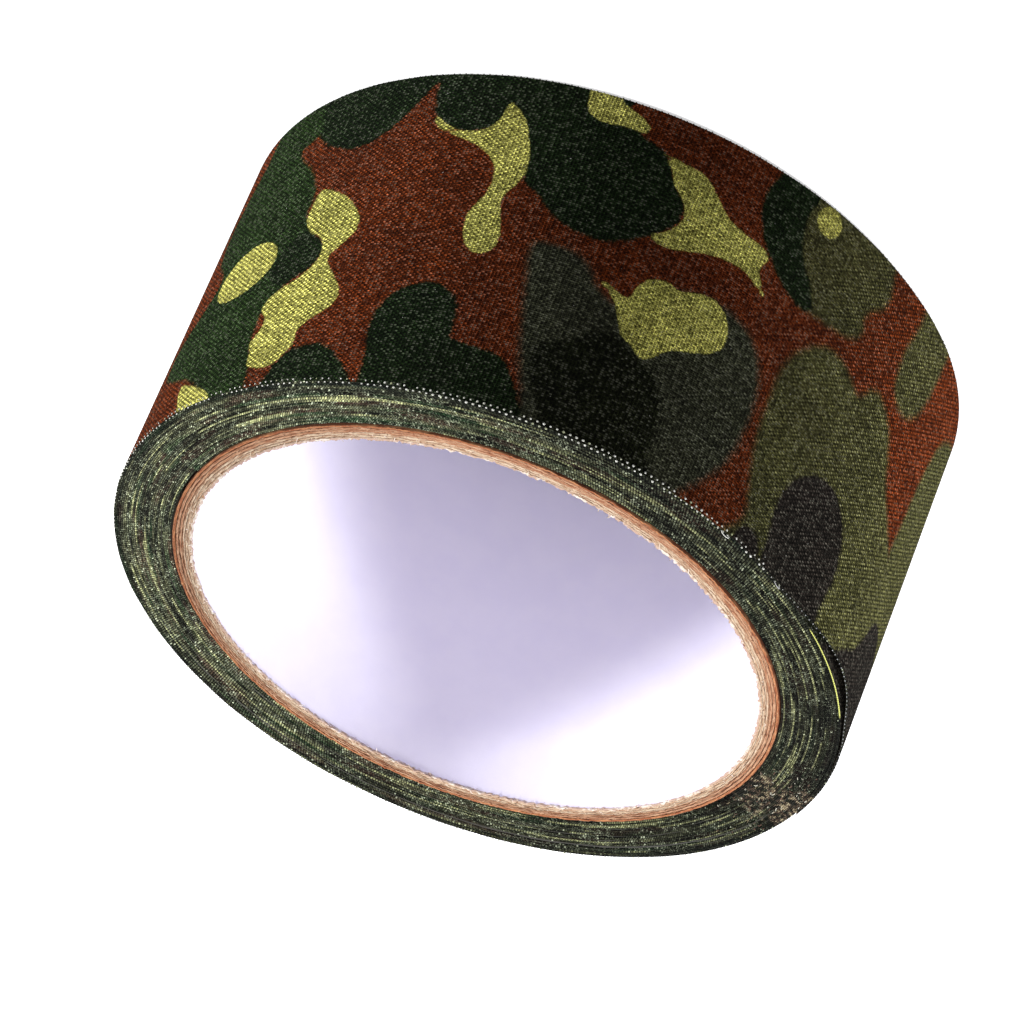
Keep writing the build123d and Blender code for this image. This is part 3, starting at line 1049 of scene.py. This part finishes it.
def make_tail(cloth_looks):
    """The loose end, in one piece for each hinge."""
    for number, (first, last, hinge) in enumerate(zip(HINGE_ANGLES, SEGMENT_ENDS, HINGES), 1):
        bend_end = first - BEND_SHARE * (first - last)
        radius = cloth_radius(bend_end)
        end = around(radius, bend_end, WIDTH / 2) * MM
        cloth = Soup()
        cloth_strip(cloth, last, first, WALL_ROWS)
        yarn_ends(cloth, last, first, PALE_YARN, 80 + number)
        if last == 0:
            cut_fringe(cloth, FRAYED_YARN)
        cloth = cloth.build(f"tail_cloth_{number}", cloth_looks, print_layers=True)
        coat = Soup()
        adhesive_strip(coat, last, first, 0.5, 0)
        coat = coat.build(f"tail_coat_{number}", [cloth_looks[ADHESIVE_FACE]])
        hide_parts(f"tail_backing_{number}")
        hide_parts(f"tail_adhesive_{number}")
        for piece in (cloth, coat):
            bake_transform(piece)


make_core()
looks = [printed_cloth(), cut_cloth_edge(), adhesive_coat(), undyed_yarn(), dyed_yarn()]
make_wound_tape(looks)
make_tail(looks)

# ======================= stage, lights and camera =======================
CAMERA_AZIMUTH, CAMERA_ELEVATION, CAMERA_ROLL = 193.7, 32.88, -157.58
CAMERA_DISTANCE = 812.3
CAMERA_SHIFT = (3.2, 4.76)   # where the roll's middle lies in view, right and up of the centre
LENS = 222.2
HORIZON_LIGHT, ZENITH_LIGHT = 0.12, 1.75
FLOOR_HALF = 3000            # half the floor's side
FLOOR_DROP = 0.4             # the floor lies under the lowest fibre


def direction(azimuth, elevation):
    """Unit vector from the roll towards a viewer or a light; azimuth 0 is on the -Y side."""
    a, e = math.radians(azimuth), math.radians(elevation)
    return Vector((math.sin(a) * math.cos(e), -math.cos(a) * math.cos(e), math.sin(e)))


def add_camera():
    back = direction(CAMERA_AZIMUTH, CAMERA_ELEVATION)
    level_right = Vector((0, 0, 1)).cross(back).normalized()
    level_up = back.cross(level_right)
    roll = math.radians(CAMERA_ROLL)
    right = level_right * math.cos(roll) + level_up * math.sin(roll)
    up = level_up * math.cos(roll) - level_right * math.sin(roll)
    middle = Vector((0, 0, WIDTH / 2))
    place = middle + back * CAMERA_DISTANCE - right * CAMERA_SHIFT[0] - up * CAMERA_SHIFT[1]
    data = bpy.data.cameras.new("camera")
    data.lens = LENS
    data.sensor_width = 36
    data.clip_start, data.clip_end = 0.01, 20
    camera = bpy.data.objects.new("camera", data)
    camera.matrix_world = Matrix.Translation(place * MM) @ Matrix((right, up, back)).transposed().to_4x4()
    bpy.context.scene.collection.objects.link(camera)
    bpy.context.scene.camera = camera


def add_light(name, azimuth, elevation, distance, size, watts, color):
    """A square soft light that faces the roll. Distance and size are in millimetres."""
    data = bpy.data.lights.new(name, "AREA")
    data.shape = "SQUARE"
    data.size = size * MM
    data.energy = watts
    data.color = color
    light = bpy.data.objects.new(name, data)
    towards = direction(azimuth, elevation)
    light.location = (towards * distance + Vector((0, 0, WIDTH / 2))) * MM
    light.rotation_mode = "QUATERNION"
    light.rotation_quaternion = towards.to_track_quat("Z", "Y")
    bpy.context.scene.collection.objects.link(light)


def add_floor():
    """A white floor that stays dim for everything but the camera, so it throws little light back."""
    soup = Soup()
    signs = ((-1, -1), (1, -1), (1, 1), (-1, 1))
    soup.add([(x * FLOOR_HALF, y * FLOOR_HALF, -FLOOR_DROP) for x, y in signs], [(0, 1, 2, 3)])
    n = Nodes("floor_white")
    seen = n.new("ShaderNodeBsdfDiffuse")
    n.put(seen.inputs["Color"], (0.8, 0.8, 0.8))
    glow = n.new("ShaderNodeEmission")
    n.put(glow.inputs["Strength"], 0.55)
    bright = n.new("ShaderNodeAddShader")
    dim = n.new("ShaderNodeBsdfDiffuse")
    n.put(dim.inputs["Color"], (0.1, 0.1, 0.1))
    pick = n.new("ShaderNodeMixShader")
    path = n.new("ShaderNodeLightPath")
    n.link((seen.outputs[0], bright.inputs[0]), (glow.outputs[0], bright.inputs[1]),
           (path.outputs["Is Camera Ray"], pick.inputs[0]), (dim.outputs[0], pick.inputs[1]),
           (bright.outputs[0], pick.inputs[2]), (pick.outputs[0], n.output.inputs[0]))
    soup.build("floor", [n.material])


def add_world():
    """A studio that is dim at the horizon and bright overhead, and looks white behind the roll."""
    world = bpy.data.worlds.new("studio")
    world.use_nodes = True
    tree = world.node_tree
    background = tree.nodes["Background"]
    view = tree.nodes.new("ShaderNodeTexCoord")
    parts = tree.nodes.new("ShaderNodeSeparateXYZ")
    square = tree.nodes.new("ShaderNodeMath")
    square.operation = "POWER"
    square.use_clamp = True
    square.inputs[1].default_value = 2
    level = tree.nodes.new("ShaderNodeMapRange")
    level.inputs["To Min"].default_value = HORIZON_LIGHT
    level.inputs["To Max"].default_value = ZENITH_LIGHT
    tree.links.new(view.outputs["Generated"], parts.inputs[0])
    tree.links.new(parts.outputs["Z"], square.inputs[0])
    tree.links.new(square.outputs[0], level.inputs["Value"])
    path = tree.nodes.new("ShaderNodeLightPath")
    seen = tree.nodes.new("ShaderNodeMath")
    seen.operation = "ADD"
    tree.links.new(level.outputs[0], seen.inputs[0])
    tree.links.new(path.outputs["Is Camera Ray"], seen.inputs[1])
    tree.links.new(seen.outputs[0], background.inputs["Strength"])
    background.inputs["Color"].default_value = (0.95, 0.94, 1.0, 1)
    bpy.context.scene.world = world


add_camera()
add_light("right_softbox", 106, 32.5, 900, 240, 8.7, (1, 1, 1))
add_light("left_softbox", 280, 23, 900, 240, 10.2, (1, 1, 1))
add_floor()
add_world()
bpy.context.scene.view_settings.view_transform = "Standard"
